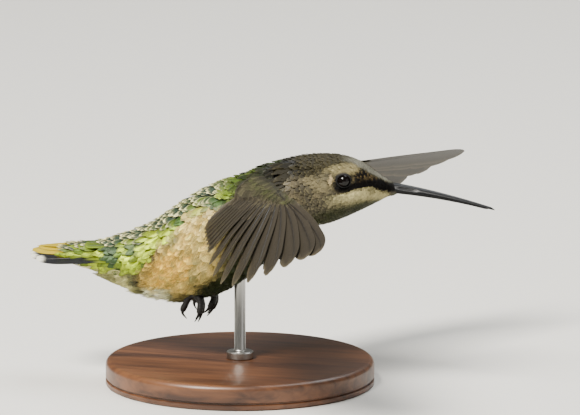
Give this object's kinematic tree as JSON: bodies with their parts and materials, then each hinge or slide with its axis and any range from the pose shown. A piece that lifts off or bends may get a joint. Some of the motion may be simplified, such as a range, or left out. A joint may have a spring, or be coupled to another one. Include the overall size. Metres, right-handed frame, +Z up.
{
  "type": "ruby-throated hummingbird model",
  "caption": "Small long-billed bird hovering with both wings spread forward, tail nearly closed and feet tucked, held over a round display base by a slim rod.",
  "frame": {"origin": "centre of the display base's flat underside, straight under the rod", "axes": "+X forward along the bird towards the bill, +Y the bird's left, +Z up"},
  "size_m": [0.0853, 0.0968, 0.0425],
  "materials": {
    "body_feathers": "glossy golden green contour feathers over a buff underside",
    "head_feathers": "small grey-olive scale-like feathers, pale buff on the throat",
    "flight_feathers": "smooth dusky vanes with a faint sheen",
    "tail_feathers": "golden green vanes, black towards the end, white outer tips",
    "bill": "black horn with a soft gloss",
    "eye": "wet, near black",
    "feet": "small dark scales, black claws",
    "base": "satin walnut",
    "rod": "fine brushed"
  },
  "bodies": {
    "root": {"head": "head_feathers", "neck": "head_feathers", "torso": "body_feathers", "tail": "tail_feathers", "bill_upper": "bill", "bill_lower": "bill", "eye_left": "eye", "eye_right": "eye", "leg_left": "feet", "leg_right": "feet", "wing_left": "flight_feathers", "wing_right": "flight_feathers", "stand_base": "base", "stand_rod": "rod"}
  },
  "joints": []
}
